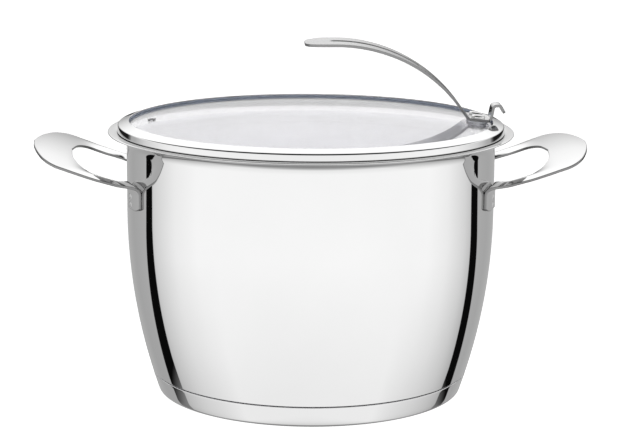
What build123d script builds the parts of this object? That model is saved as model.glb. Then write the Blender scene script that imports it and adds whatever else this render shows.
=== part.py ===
"""A 24 cm polished steel cooking and serving pot with a hanging glass lid.

The frame is +Z up, with the origin at the centre of the base underside. The side handles lie
along X, and the lid handle is fixed near the edge of the glass on the +X side.
"""
import os
from math import atan2, cos, degrees, hypot, radians, sin, sqrt, tan

from build123d import *

os.makedirs("parts", exist_ok=True)

# Pot wall
NECK_RADIUS = 120.9        # outside, where the wall is upright
WALL = 0.9
BARREL_ARC = 372.0         # side-view radius of the barrel below the upright neck
BARREL_TOP = 122.0         # height where the barrel arc becomes upright
SEAM_HEIGHT = 14.0         # where the base cap ends and the bare wall starts
SEAM_GAP = 0.4
FLOOR_UNDERSIDE = 9.0
FLOOR = 1.0
FLOOR_CORNER = 4.0

# Pouring rim
RIM_RADIUS = 133.1
FLARE_START = 164.3        # height where the wall turns outward
FLARE_UNDER_RADIUS = 8.5
FLARE_CENTRE = NECK_RADIUS + FLARE_UNDER_RADIUS
FLARE_TOP_RADIUS = FLARE_UNDER_RADIUS + WALL

# Encapsulated base
CAP_SHEET = 1.0
CAP_CORNER = 3.0
BRAZE_GAP = 0.1
SPREADER_RADIUS = 96.0
SPREADER_CHAMFER = 0.8

# Side handles
HANDLE_SHEET = 1.8
HANDLE_TIP = 181.6
HANDLE_ROOT_Z = 149.3      # sheet centre height at X = 125
HANDLE_CROWN_RADIUS = 880.0  # the grip is slightly domed from side to side
HANDLE_BLANK_HALF = 75.0   # half width of the sheet before it is cut to its outline
HANDLE_TAB_BOTTOM = 130.2
HANDLE_TAB_START = 14.0    # degrees round the wall from the X axis
HANDLE_TAB_END = 25.5
HANDLE_WELD_GAP = 0.05

# Lid glass and its steel ring
GLASS_ARC = 1200.0
GLASS_TOP = 184.6
GLASS_THICKNESS = 3.5
GLASS_RADIUS = 123.4
LID_GAP = 0.4              # between the ring and the pot, all round
RING_SHEET = 0.8
RING_RADIUS = 127.0
RING_SHOULDER_Z = 178.6
RING_LIP_RADIUS = 119.2
RING_LIP_Z = 180.8
RING_SKIRT_BOTTOM = 160.0
RING_SHOULDER_ROUND = 1.2
RING_ARC_MIDDLE = 38.0     # degrees, a point half way along the ring's flare
SEAL_GAP = 0.05
SEAL_FOOT_RADIUS = 122.1
SEAL_LIP_GAP = 0.1

# Steam vent
VENT_X = -104.5
VENT_BORE = 2.4
VENT_TUBE = 3.8
VENT_FLANGE = 5.4
VENT_FLANGE_THICKNESS = 0.5
VENT_HOLE = 4.0
VENT_SEAT = 0.05           # between the eyelet's flanges and the glass

# Lid handle: one bent strap
STRAP_SHEET = 1.8
STRAP_TIP = (-4.5, 230.6)
STRAP_APEX_X = 16.0
STRAP_ARC = 100.3
STRAP_ARC_CENTRE_Z = 131.0
STRAP_ARC_END = 54.0       # degrees past the apex where the arch runs straight
STRAP_GRIP_HALF = 21.0
STRAP_GRIP_END_X = 45.0    # the grip keeps its full width up to here, then tapers
STRAP_FOOT_HALF = 14.0
STRAP_TIP_CORNER = 15.0
HOOK_HALF = 7.0
HOOK_TOP_Z = 190.4
FOOT_END_X = 118.0
FOOT_SHOULDER = 1.5        # the foot narrows to the hook this far before its end
STRAP_BEND_RADII = (3.0, 1.6, 2.1, 2.1)
SLOT_START = 12.0
SLOT_END = 80.0
SLOT_WIDTH = 7.0

# Lid handle fasteners
SCREW_X = 109.0
SCREW_Y = 7.5
SCREW_SHANK = 4.0
SCREW_HOLE = 4.4
SCREW_HEAD = 9.0
SCREW_HEAD_HEIGHT = 1.7
SCREW_HEAD_ROUND = 1.2
SCREW_END = 0.8            # shank showing below the nut
GASKET_DIAMETER = 12.0
LOWER_GASKET = 1.0
WASHER = 1.0
WASHER_DIAMETER = 11.0
NUT_ACROSS_FLATS = 7.0
NUT_HEIGHT = 3.2
GLASS_SCREW_HOLE = 5.6
SEAT = 0.1                 # between parts stacked on a screw
FOOT_CENTRE_Z = 181.9      # strap centre height at the screws


def barrel_radius(height, inset=0.0):
    """Radius of the barrel at a height, measured in from the outside by inset."""
    arc = BARREL_ARC - inset
    rise = BARREL_TOP - height
    return NECK_RADIUS - BARREL_ARC + sqrt(arc**2 - rise**2)


def glass_height(radius, depth=0.0):
    """Height of the domed glass at a radius, measured down from its upper face by depth."""
    arc = GLASS_ARC - depth
    return GLASS_TOP - GLASS_ARC + sqrt(arc**2 - radius**2)


def flare_height(radius, arc):
    """Height of an arc drawn about the centre of the flared rim, at a radius."""
    return FLARE_START + sqrt(arc**2 - (FLARE_CENTRE - radius) ** 2)


def flare_point(arc, angle):
    """Point on an arc about the flare's centre, angle in degrees up from the pot's axis side."""
    return (
        FLARE_CENTRE - arc * cos(radians(angle)),
        FLARE_START + arc * sin(radians(angle)),
    )


# ---------------------------------------------------------------- pot body
inside_cap = CAP_SHEET + BRAZE_GAP
step_height = SEAM_HEIGHT + SEAM_GAP
floor_top = FLOOR_UNDERSIDE + FLOOR
mid_barrel = (BARREL_TOP + step_height) / 2
mid_inside = (BARREL_TOP + floor_top) / 2
rim_top = FLARE_START + FLARE_TOP_RADIUS
rim_under = FLARE_START + FLARE_UNDER_RADIUS
rim_edge_centre = RIM_RADIUS - WALL / 2

with BuildPart() as pot_body:
    with BuildSketch(Plane.XZ):
        with BuildLine():
            Line((0, FLOOR_UNDERSIDE), (barrel_radius(FLOOR_UNDERSIDE, inside_cap), FLOOR_UNDERSIDE))
            Line(
                (barrel_radius(FLOOR_UNDERSIDE, inside_cap), FLOOR_UNDERSIDE),
                (barrel_radius(step_height, inside_cap), step_height),
            )
            Line(
                (barrel_radius(step_height, inside_cap), step_height),
                (barrel_radius(step_height), step_height),
            )
            ThreePointArc(
                (barrel_radius(step_height), step_height),
                (barrel_radius(mid_barrel), mid_barrel),
                (NECK_RADIUS, BARREL_TOP),
            )
            Line((NECK_RADIUS, BARREL_TOP), (NECK_RADIUS, FLARE_START))
            ThreePointArc(
                (NECK_RADIUS, FLARE_START),
                flare_point(FLARE_UNDER_RADIUS, 45),
                (FLARE_CENTRE, rim_under),
            )
            Line((FLARE_CENTRE, rim_under), (rim_edge_centre, rim_under))
            ThreePointArc(
                (rim_edge_centre, rim_under),
                (RIM_RADIUS, rim_under + WALL / 2),
                (rim_edge_centre, rim_top),
            )
            Line((rim_edge_centre, rim_top), (FLARE_CENTRE, rim_top))
            ThreePointArc(
                (FLARE_CENTRE, rim_top),
                flare_point(FLARE_TOP_RADIUS, 45),
                (NECK_RADIUS - WALL, FLARE_START),
            )
            Line((NECK_RADIUS - WALL, FLARE_START), (NECK_RADIUS - WALL, BARREL_TOP))
            ThreePointArc(
                (NECK_RADIUS - WALL, BARREL_TOP),
                (barrel_radius(mid_inside, WALL + inside_cap / 2), mid_inside),
                (barrel_radius(floor_top, WALL + inside_cap), floor_top),
            )
            Line((barrel_radius(floor_top, WALL + inside_cap), floor_top), (0, floor_top))
            Line((0, floor_top), (0, FLOOR_UNDERSIDE))
        make_face()
    revolve(axis=Axis.Z)
    outer_corner = (
        pot_body.edges()
        .filter_by(GeomType.CIRCLE)
        .filter_by(lambda edge: abs(edge.center().Z - FLOOR_UNDERSIDE) < 0.01)
    )
    inner_corner = (
        pot_body.edges()
        .filter_by(GeomType.CIRCLE)
        .filter_by(lambda edge: abs(edge.center().Z - floor_top) < 0.01)
    )
    fillet(outer_corner, FLOOR_CORNER)
    fillet(inner_corner, FLOOR_CORNER + FLOOR)

# ---------------------------------------------------------------- encapsulated base
with BuildPart() as base_cap:
    with BuildSketch(Plane.XZ):
        with BuildLine():
            Line((0, 0), (barrel_radius(0), 0))
            ThreePointArc(
                (barrel_radius(0), 0),
                (barrel_radius(SEAM_HEIGHT / 2), SEAM_HEIGHT / 2),
                (barrel_radius(SEAM_HEIGHT), SEAM_HEIGHT),
            )
            Line(
                (barrel_radius(SEAM_HEIGHT), SEAM_HEIGHT),
                (barrel_radius(SEAM_HEIGHT, CAP_SHEET), SEAM_HEIGHT),
            )
            ThreePointArc(
                (barrel_radius(SEAM_HEIGHT, CAP_SHEET), SEAM_HEIGHT),
                (barrel_radius(SEAM_HEIGHT / 2, CAP_SHEET), SEAM_HEIGHT / 2),
                (barrel_radius(CAP_SHEET, CAP_SHEET), CAP_SHEET),
            )
            Line((barrel_radius(CAP_SHEET, CAP_SHEET), CAP_SHEET), (0, CAP_SHEET))
            Line((0, CAP_SHEET), (0, 0))
        make_face()
    revolve(axis=Axis.Z)
    bottom_edge = base_cap.edges().filter_by(GeomType.CIRCLE).group_by(Axis.Z)[0]
    fillet(bottom_edge, CAP_CORNER)
    inner_bottom_edge = (
        base_cap.edges()
        .filter_by(GeomType.CIRCLE)
        .filter_by(lambda edge: abs(edge.center().Z - CAP_SHEET) < 0.01)
    )
    fillet(inner_bottom_edge, CAP_CORNER - CAP_SHEET)

with BuildPart() as heat_spreader:
    with BuildSketch(Plane.XY.offset(CAP_SHEET + BRAZE_GAP)):
        Circle(SPREADER_RADIUS)
    extrude(amount=FLOOR_UNDERSIDE - CAP_SHEET - 2 * BRAZE_GAP)
    chamfer(heat_spreader.edges(), SPREADER_CHAMFER)

# ---------------------------------------------------------------- side handles
HANDLE_OUTLINE = [
    (106.0, 51.0),
    (115.0, 55.0),
    (127.0, 58.8),
    (141.0, 61.0),
    (155.0, 62.9),
    (164.0, 62.0),
    (171.0, 53.0),
    (176.0, 38.0),
    (179.8, 19.0),
]
HANDLE_OPENING = [
    (124.5, 47.0),
    (133.0, 46.4),
    (141.5, 44.4),
    (149.0, 38.0),
    (154.5, 23.0),
]
HANDLE_OPENING_TIP = 157.0
HANDLE_OPENING_ROOT = [(120.5, 34.0), (112.0, 28.5)]
HANDLE_SIDE = [
    (104.0, -7.0),
    (125.0, 0.0),
    (140.0, 4.8),
    (155.0, 9.8),
    (166.0, 13.4),
    (175.0, 15.6),
    (184.0, 16.6),
]
ABOVE_SHEET = 40.0         # height of the block that trims the tabs


def handle_outline_curve(points, tip):
    """One smooth curve through half an outline, its tip on the X axis, and the mirrored half."""
    mirrored = [(x, -y) for x, y in reversed(points)]
    return Spline(*points, (tip, 0), *mirrored)


def tab_sector(side):
    """Outline of one weld tab, seen from above, on the +Y or -Y side of the X axis."""
    inner = NECK_RADIUS + HANDLE_WELD_GAP
    outer = inner + HANDLE_SHEET
    start = radians(HANDLE_TAB_START) * side
    end = radians(HANDLE_TAB_END) * side
    middle = (start + end) / 2

    def at(radius, angle):
        return (radius * cos(angle), radius * sin(angle))

    ThreePointArc(at(inner, start), at(inner, middle), at(inner, end))
    Line(at(inner, end), at(outer, end))
    ThreePointArc(at(outer, end), at(outer, middle), at(outer, start))
    Line(at(outer, start), at(inner, start))


crown_drop = HANDLE_BLANK_HALF**2 / (2 * HANDLE_CROWN_RADIUS)
crown_start = (-HANDLE_BLANK_HALF, -crown_drop)
crown_end = (HANDLE_BLANK_HALF, -crown_drop)

with BuildLine(Plane.XZ) as handle_path:
    Spline(*[(x, HANDLE_ROOT_Z + rise) for x, rise in HANDLE_SIDE])
handle_section = Plane(origin=handle_path.line @ 0, x_dir=(0, 1, 0), z_dir=handle_path.line % 0)

with BuildPart() as handle_sheet:
    with BuildSketch(handle_section):
        with BuildLine():
            ThreePointArc(crown_start, (0, 0), crown_end)
        trace(line_width=HANDLE_SHEET)
    sweep(path=handle_path.line)

with BuildPart() as above_sheet:
    with BuildSketch(handle_section):
        with BuildLine():
            ThreePointArc(crown_start, (0, 0), crown_end)
            Polyline(
                crown_end,
                (HANDLE_BLANK_HALF, ABOVE_SHEET),
                (-HANDLE_BLANK_HALF, ABOVE_SHEET),
                crown_start,
            )
        make_face()
    sweep(path=handle_path.line)

with BuildPart() as weld_tabs:
    for side in (1, -1):
        with BuildSketch(Plane.XY.offset(HANDLE_TAB_BOTTOM)):
            with BuildLine():
                tab_sector(side)
            make_face()
        extrude(amount=ABOVE_SHEET / 2)
    add(above_sheet.part, mode=Mode.SUBTRACT)

with BuildPart() as side_handle_right:
    add(handle_sheet.part)
    with BuildSketch():
        with BuildLine():
            outline = handle_outline_curve(HANDLE_OUTLINE, HANDLE_TIP)
            Line(outline @ 0, outline @ 1)
        make_face()
        with BuildLine():
            opening = handle_outline_curve(HANDLE_OPENING, HANDLE_OPENING_TIP)
            Polyline(
                opening @ 0,
                *HANDLE_OPENING_ROOT,
                *[(x, -y) for x, y in reversed(HANDLE_OPENING_ROOT)],
                opening @ 1,
            )
        make_face(mode=Mode.SUBTRACT)
    extrude(amount=2 * HANDLE_ROOT_Z, mode=Mode.INTERSECT)
    add(weld_tabs.part)
    with BuildSketch():
        Circle(NECK_RADIUS + HANDLE_WELD_GAP)
    extrude(amount=2 * HANDLE_ROOT_Z, mode=Mode.SUBTRACT)

with BuildPart() as side_handle_left:
    add(side_handle_right.part.rotate(Axis.Z, 180))

# ---------------------------------------------------------------- lid ring
skirt_outer_arc = FLARE_TOP_RADIUS + LID_GAP
skirt_inner_arc = skirt_outer_arc + RING_SHEET
ring_inside = RING_RADIUS - RING_SHEET

with BuildPart() as lid_rim:
    with BuildSketch(Plane.XZ) as ring_profile:
        with BuildLine():
            Line(
                (FLARE_CENTRE - skirt_outer_arc, RING_SKIRT_BOTTOM),
                (FLARE_CENTRE - skirt_outer_arc, FLARE_START),
            )
            ThreePointArc(
                (FLARE_CENTRE - skirt_outer_arc, FLARE_START),
                flare_point(skirt_outer_arc, RING_ARC_MIDDLE),
                (RING_RADIUS, flare_height(RING_RADIUS, skirt_outer_arc)),
            )
            Polyline(
                (RING_RADIUS, flare_height(RING_RADIUS, skirt_outer_arc)),
                (RING_RADIUS, RING_SHOULDER_Z),
                (RING_LIP_RADIUS, RING_LIP_Z),
                (RING_LIP_RADIUS, RING_LIP_Z - RING_SHEET),
                (ring_inside, RING_SHOULDER_Z - RING_SHEET),
                (ring_inside, flare_height(ring_inside, skirt_inner_arc)),
            )
            ThreePointArc(
                (ring_inside, flare_height(ring_inside, skirt_inner_arc)),
                flare_point(skirt_inner_arc, RING_ARC_MIDDLE),
                (FLARE_CENTRE - skirt_inner_arc, FLARE_START),
            )
            Polyline(
                (FLARE_CENTRE - skirt_inner_arc, FLARE_START),
                (FLARE_CENTRE - skirt_inner_arc, RING_SKIRT_BOTTOM),
                (FLARE_CENTRE - skirt_outer_arc, RING_SKIRT_BOTTOM),
            )
        make_face()
    revolve(axis=Axis.Z)
    shoulder = lid_rim.edges().filter_by(
        lambda edge: abs(edge.center().Z - RING_SHOULDER_Z) < 0.01
    )
    fillet(shoulder, RING_SHOULDER_ROUND)

# ---------------------------------------------------------------- lid glass
foot_slope = degrees(atan2(SCREW_X, GLASS_ARC))
glass_at_screw = glass_height(hypot(SCREW_X, SCREW_Y))
screw_normal = (sin(radians(foot_slope)), 0, cos(radians(foot_slope)))
screw_planes = [
    Plane(
        origin=(SCREW_X, side * SCREW_Y, glass_at_screw),
        x_dir=(cos(radians(foot_slope)), 0, -sin(radians(foot_slope))),
        z_dir=screw_normal,
    )
    for side in (1, -1)
]
vent_slope = atan2(VENT_X, GLASS_ARC)
vent_plane = Plane(
    origin=(VENT_X, 0, glass_height(-VENT_X)),
    x_dir=(cos(vent_slope), 0, -sin(vent_slope)),
    z_dir=(sin(vent_slope), 0, cos(vent_slope)),
)


def glass_section(edge_radius, grow):
    """Half section of the domed glass out to edge_radius, grown all round by grow."""
    half = edge_radius / 2
    top = [(r, glass_height(r, -grow)) for r in (0, half, edge_radius)]
    bottom = [(r, glass_height(r, GLASS_THICKNESS + grow)) for r in (edge_radius, half, 0)]
    ThreePointArc(*top)
    Line(top[2], bottom[0])
    ThreePointArc(*bottom)
    Line(bottom[2], top[0])


with BuildPart() as lid_glass:
    with BuildSketch(Plane.XZ):
        with BuildLine():
            glass_section(GLASS_RADIUS, 0)
        make_face()
    revolve(axis=Axis.Z)
    for plane in screw_planes:
        with BuildSketch(plane):
            Circle(GLASS_SCREW_HOLE / 2)
        extrude(amount=2 * GLASS_THICKNESS, both=True, mode=Mode.SUBTRACT)
    with BuildSketch(vent_plane):
        Circle(VENT_HOLE / 2)
    extrude(amount=2 * GLASS_THICKNESS, both=True, mode=Mode.SUBTRACT)

seal_inside = RING_LIP_RADIUS + SEAL_LIP_GAP
seal_arc = skirt_inner_arc + SEAL_GAP
seal_outside = ring_inside - SEAL_GAP
seal_middle = (seal_outside + SEAL_FOOT_RADIUS) / 2

with BuildPart() as lid_seal:
    with BuildSketch(Plane.XZ):
        with BuildLine():
            Polyline(
                (SEAL_FOOT_RADIUS, flare_height(SEAL_FOOT_RADIUS, seal_arc)),
                (SEAL_FOOT_RADIUS, glass_height(SEAL_FOOT_RADIUS, GLASS_THICKNESS / 2)),
                (seal_inside, glass_height(seal_inside, GLASS_THICKNESS / 2)),
                (seal_inside, RING_LIP_Z - RING_SHEET - SEAL_GAP),
                (seal_outside, RING_SHOULDER_Z - RING_SHEET - SEAL_GAP),
                (seal_outside, flare_height(seal_outside, seal_arc)),
            )
            ThreePointArc(
                (seal_outside, flare_height(seal_outside, seal_arc)),
                (seal_middle, flare_height(seal_middle, seal_arc)),
                (SEAL_FOOT_RADIUS, flare_height(SEAL_FOOT_RADIUS, seal_arc)),
            )
        make_face()
        with BuildLine():
            glass_section(GLASS_RADIUS + SEAL_GAP, SEAL_GAP)
        make_face(mode=Mode.SUBTRACT)
    revolve(axis=Axis.Z)

# ---------------------------------------------------------------- steam vent eyelet
vent_underside = -GLASS_THICKNESS - VENT_SEAT - VENT_FLANGE_THICKNESS
vent_top = VENT_SEAT + VENT_FLANGE_THICKNESS

with BuildPart() as vent_eyelet:
    with BuildSketch(vent_plane.offset(VENT_SEAT)):
        Circle(VENT_FLANGE / 2)
    extrude(amount=VENT_FLANGE_THICKNESS)
    with BuildSketch(vent_plane.offset(vent_underside)):
        Circle(VENT_FLANGE / 2)
    extrude(amount=VENT_FLANGE_THICKNESS)
    with BuildSketch(vent_plane.offset(vent_underside)):
        Circle(VENT_TUBE / 2)
    extrude(amount=vent_top - vent_underside)
    with BuildSketch(vent_plane.offset(vent_underside)):
        Circle(VENT_BORE / 2)
    extrude(amount=vent_top - vent_underside, mode=Mode.SUBTRACT)

# ---------------------------------------------------------------- lid handle strap
arch_end = (
    STRAP_APEX_X + STRAP_ARC * sin(radians(STRAP_ARC_END)),
    STRAP_ARC_CENTRE_Z + STRAP_ARC * cos(radians(STRAP_ARC_END)),
)
foot_tangent = tan(radians(foot_slope))


def foot_height(x):
    """Height of the strap's centre along its foot, which lies parallel to the glass."""
    return FOOT_CENTRE_Z - foot_tangent * (x - SCREW_X)


knee_run = (arch_end[1] - foot_height(arch_end[0])) / (tan(radians(STRAP_ARC_END)) - foot_tangent)
knee_x = arch_end[0] + knee_run
strap_bends = [
    arch_end,
    (knee_x, foot_height(knee_x)),
    (FOOT_END_X, foot_height(FOOT_END_X)),
    (119.7, HOOK_TOP_Z),
    (124.2, HOOK_TOP_Z),
    (126.9, 185.4),
]

with BuildPart() as lid_handle:
    with BuildSketch(Plane.XZ):
        with BuildLine():
            Line(STRAP_TIP, (STRAP_APEX_X, STRAP_ARC_CENTRE_Z + STRAP_ARC))
            RadiusArc((STRAP_APEX_X, STRAP_ARC_CENTRE_Z + STRAP_ARC), arch_end, STRAP_ARC)
            FilletPolyline(*strap_bends, radius=STRAP_BEND_RADII)
        trace(line_width=STRAP_SHEET)
    extrude(amount=STRAP_GRIP_HALF, both=True)
    with BuildSketch():
        with BuildLine():
            Polyline(
                (STRAP_TIP[0], 0),
                (STRAP_TIP[0], STRAP_GRIP_HALF),
                (STRAP_GRIP_END_X, STRAP_GRIP_HALF),
                (knee_x, STRAP_FOOT_HALF),
                (FOOT_END_X - FOOT_SHOULDER, STRAP_FOOT_HALF),
                (FOOT_END_X - FOOT_SHOULDER, HOOK_HALF),
                (RIM_RADIUS, HOOK_HALF),
                (RIM_RADIUS, 0),
            )
            mirror(about=Plane.XZ)
        outline_face = make_face()
        tip_corners = outline_face.vertices().group_by(Axis.X)[0]
        fillet(tip_corners, STRAP_TIP_CORNER)
        with Locations(((SLOT_START + SLOT_END) / 2, 0)):
            SlotOverall(SLOT_END - SLOT_START, SLOT_WIDTH, mode=Mode.SUBTRACT)
    extrude(amount=2 * STRAP_TIP[1], mode=Mode.INTERSECT)
    for plane in screw_planes:
        with BuildSketch(plane):
            Circle(SCREW_HOLE / 2)
        extrude(amount=SCREW_HEAD, mode=Mode.SUBTRACT)

# ---------------------------------------------------------------- lid handle fasteners
foot_offset = (FOOT_CENTRE_Z - glass_at_screw) * cos(radians(foot_slope))
upper_gap = foot_offset - STRAP_SHEET / 2
under_glass = -GLASS_THICKNESS - SEAT
under_gasket = under_glass - LOWER_GASKET - SEAT
under_washer = under_gasket - WASHER - SEAT
nut_bottom = under_washer - NUT_HEIGHT
head_seat = foot_offset + STRAP_SHEET / 2 + SEAT

with BuildPart() as lid_screws:
    for plane in screw_planes:
        with BuildSketch(plane.offset(head_seat)):
            Circle(SCREW_HEAD / 2)
        extrude(amount=SCREW_HEAD_HEIGHT)
        with BuildSketch(plane.offset(nut_bottom - SCREW_END)):
            Circle(SCREW_SHANK / 2)
        extrude(amount=head_seat + SCREW_HEAD_HEIGHT / 2 - nut_bottom + SCREW_END)
    head_edges = lid_screws.faces().sort_by(Axis.Z)[-2:].edges()
    fillet(head_edges, SCREW_HEAD_ROUND)

# Flat rings on both screw axes: height of the lower face above the glass, thickness, diameter
WASHER_PAIRS = {
    "upper_gaskets": (SEAT, upper_gap - 2 * SEAT, GASKET_DIAMETER),
    "lower_gaskets": (under_glass - LOWER_GASKET, LOWER_GASKET, GASKET_DIAMETER),
    "lid_washers": (under_gasket - WASHER, WASHER, WASHER_DIAMETER),
}
washer_pieces = {}
for name, (lower_face, thickness, diameter) in WASHER_PAIRS.items():
    with BuildPart() as washer_pair:
        for plane in screw_planes:
            with BuildSketch(plane.offset(lower_face)):
                Circle(diameter / 2)
                Circle(SCREW_HOLE / 2, mode=Mode.SUBTRACT)
            extrude(amount=thickness)
    washer_pieces[name] = washer_pair

with BuildPart() as lid_nuts:
    for plane in screw_planes:
        with BuildSketch(plane.offset(nut_bottom)):
            RegularPolygon(NUT_ACROSS_FLATS / 2, 6, major_radius=False)
            Circle(SCREW_SHANK / 2 + SEAT, mode=Mode.SUBTRACT)
        extrude(amount=NUT_HEIGHT)

# ---------------------------------------------------------------- files
PIECES = {
    "pot_body": pot_body,
    "base_cap": base_cap,
    "heat_spreader": heat_spreader,
    "side_handle_left": side_handle_left,
    "side_handle_right": side_handle_right,
    "lid_rim": lid_rim,
    "lid_glass": lid_glass,
    "lid_seal": lid_seal,
    "vent_eyelet": vent_eyelet,
    "lid_handle": lid_handle,
    "lid_screws": lid_screws,
    "lid_nuts": lid_nuts,
    **washer_pieces,
}

for name, piece in PIECES.items():
    piece.part.label = name
    export_step(piece.part, f"parts/{name}.step")
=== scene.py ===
"""Looks for the steel pot with its hanging glass lid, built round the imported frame."""
from math import acos, asin, atan2, cos, degrees, hypot, pi, radians, sin, sqrt, tan

import bmesh
import bpy
from mathutils import Matrix, Vector


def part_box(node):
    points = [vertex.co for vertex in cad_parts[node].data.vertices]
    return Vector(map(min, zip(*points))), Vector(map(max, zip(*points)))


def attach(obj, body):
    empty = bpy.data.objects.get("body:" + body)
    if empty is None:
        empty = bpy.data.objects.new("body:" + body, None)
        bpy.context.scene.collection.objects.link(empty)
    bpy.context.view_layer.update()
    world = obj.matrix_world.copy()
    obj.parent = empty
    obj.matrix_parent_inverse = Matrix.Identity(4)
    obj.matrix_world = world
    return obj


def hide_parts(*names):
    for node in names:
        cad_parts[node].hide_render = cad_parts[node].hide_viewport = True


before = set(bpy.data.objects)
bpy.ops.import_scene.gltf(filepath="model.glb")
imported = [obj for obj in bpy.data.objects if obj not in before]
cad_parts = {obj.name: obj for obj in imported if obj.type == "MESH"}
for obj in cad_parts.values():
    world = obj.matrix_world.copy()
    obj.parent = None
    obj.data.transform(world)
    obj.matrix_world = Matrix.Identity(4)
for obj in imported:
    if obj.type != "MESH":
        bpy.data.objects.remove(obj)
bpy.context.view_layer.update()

MM = 0.001
SEGMENTS = 240             # round the pot's axis

# ---------------------------------------------------------------- sizes, in millimetres
NECK_RADIUS = 120.9
WALL = 0.9
BARREL_ARC = 372.0
BARREL_TOP = 122.0
BARREL_STEPS = 36
SEAM_HEIGHT = 14.0
SEAM_GAP = 0.7
SEAM_ROUND = 0.35          # on the sheet edges that meet at the seam
SEAM_MARGIN = 0.6          # the barrel's own points keep this far from the seam
CAP_SHEET = 1.0
CAP_CORNER = 3.0
BRAZE_GAP = 0.1
FLOOR_UNDERSIDE = 9.0
FLOOR = 1.0
FLOOR_CORNER = 4.0
RIM_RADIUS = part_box("pot_body")[1][0] / MM
FLARE_START = 164.3
FLARE_UNDER_RADIUS = 8.5
FLARE_TOP_RADIUS = FLARE_UNDER_RADIUS + WALL
FLARE_CENTRE = NECK_RADIUS + FLARE_UNDER_RADIUS
LID_GAP = 0.4
RING_SHEET = 0.8
RING_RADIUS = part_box("lid_rim")[1][0] / MM
RING_SKIRT_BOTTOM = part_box("lid_rim")[0][2] / MM
RING_LIP_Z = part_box("lid_rim")[1][2] / MM
RING_LIP_RADIUS = 119.2
RING_SHOULDER_Z = 178.2
RING_LEAN = 0.5            # the flank leans in by this at the shoulder
RING_SHOULDER_ROUND = 1.2
RING_LIP_ROUND = 0.3
SEAL_GAP = 0.1
SEAL_LIP_GAP = 0.2
SEAL_FOOT = 0.5            # how far the seal reaches under the glass
GLASS_ARC = 1200.0
GLASS_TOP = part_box("lid_glass")[1][2] / MM
GLASS_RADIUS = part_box("lid_glass")[1][0] / MM
GLASS_THICKNESS = 3.5
GLASS_EDGE_ROUND = 0.6
VENT_X, VENT_HOLE = -104.5, 4.0
SCREW_X, SCREW_Y, SCREW_HOLE = 109.0, 7.5, 5.6
HANDLE_SHEET = 1.8
HANDLE_WELD_GAP = 0.05
HANDLE_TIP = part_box("side_handle_right")[1][0] / MM
HANDLE_TAB_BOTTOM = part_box("side_handle_right")[0][2] / MM
STRAP_SHEET = 1.8


def barrel_radius(height, inset=0.0):
    """Radius of the barrel at a height, measured in from the outside by inset."""
    arc = BARREL_ARC - inset
    return NECK_RADIUS - BARREL_ARC + sqrt(arc**2 - (BARREL_TOP - height) ** 2)


def glass_height(radius, depth=0.0):
    """Height of the domed glass at a radius, measured down from its upper face by depth."""
    arc = GLASS_ARC - depth
    return GLASS_TOP - GLASS_ARC + sqrt(arc**2 - radius**2)


# ---------------------------------------------------------------- materials
def new_material(name):
    """An empty node material with its Principled shader and output."""
    material = bpy.data.materials.new(name)
    material.use_nodes = True
    nodes = material.node_tree.nodes
    nodes.clear()
    output = nodes.new("ShaderNodeOutputMaterial")
    shader = nodes.new("ShaderNodeBsdfPrincipled")
    material.node_tree.links.new(shader.outputs["BSDF"], output.inputs["Surface"])
    return material, nodes, material.node_tree.links, shader


def noise(nodes, links, scale, detail=3.0, stretch=(1, 1, 1)):
    """Noise in object coordinates, stretched along the axes."""
    coords = nodes.new("ShaderNodeTexCoord")
    mapping = nodes.new("ShaderNodeMapping")
    mapping.inputs["Scale"].default_value = stretch
    texture = nodes.new("ShaderNodeTexNoise")
    texture.inputs["Scale"].default_value = scale
    texture.inputs["Detail"].default_value = detail
    links.new(coords.outputs["Object"], mapping.inputs["Vector"])
    links.new(mapping.outputs["Vector"], texture.inputs["Vector"])
    return texture.outputs["Fac"]


def spread(nodes, links, source, low, high):
    """source, from 0 to 1, mapped to the range low to high."""
    mapped = nodes.new("ShaderNodeMapRange")
    mapped.inputs["To Min"].default_value = low
    mapped.inputs["To Max"].default_value = high
    links.new(source, mapped.inputs["Value"])
    return mapped.outputs["Result"]


def shade_mix(nodes, links, source, dark, light):
    """A colour between dark and light, chosen by source."""
    ramp = nodes.new("ShaderNodeValToRGB")
    ramp.color_ramp.elements[0].position = 0.3
    ramp.color_ramp.elements[0].color = (*dark, 1)
    ramp.color_ramp.elements[1].position = 0.7
    ramp.color_ramp.elements[1].color = (*light, 1)
    links.new(source, ramp.inputs["Fac"])
    return ramp.outputs["Color"]


def bump(nodes, links, shader, source, strength, distance):
    """A fine relief from source on the shader's normal."""
    relief = nodes.new("ShaderNodeBump")
    relief.inputs["Strength"].default_value = strength
    relief.inputs["Distance"].default_value = distance
    links.new(source, relief.inputs["Height"])
    links.new(relief.outputs["Normal"], shader.inputs["Normal"])


def steel(name, dark, light, rough_low, rough_high, relief, stretch=(1, 1, 1)):
    """Stainless steel: fine polishing marks, soft smudges and a little colour drift."""
    material, nodes, links, shader = new_material(name)
    shader.inputs["Metallic"].default_value = 1.0
    smudges = noise(nodes, links, 14, 4)
    grain = noise(nodes, links, 900, 2, stretch)
    links.new(shade_mix(nodes, links, smudges, dark, light), shader.inputs["Base Color"])
    links.new(spread(nodes, links, smudges, rough_low, rough_high), shader.inputs["Roughness"])
    bump(nodes, links, shader, grain, relief, 0.00002)
    return material


MIRROR_STEEL = steel(
    "mirror_steel", (0.635, 0.635, 0.635), (0.655, 0.655, 0.655), 0.012, 0.035, 0.01, (1, 1, 0.05)
)
SATIN_STEEL = steel("satin_steel", (0.7, 0.7, 0.7), (0.74, 0.74, 0.74), 0.13, 0.2, 0.05, (0.1, 1, 1))
# Rougher steel for the insides, its colour lightened near white with a cool cast: painted light,
# standing in for light that barely reaches inside the pot.
LIGHTENED_INNER_STEEL = steel("inner_steel_painted_light", (0.93, 0.93, 0.97), (0.95, 0.95, 0.985), 0.4, 0.5, 0.05)
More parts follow.
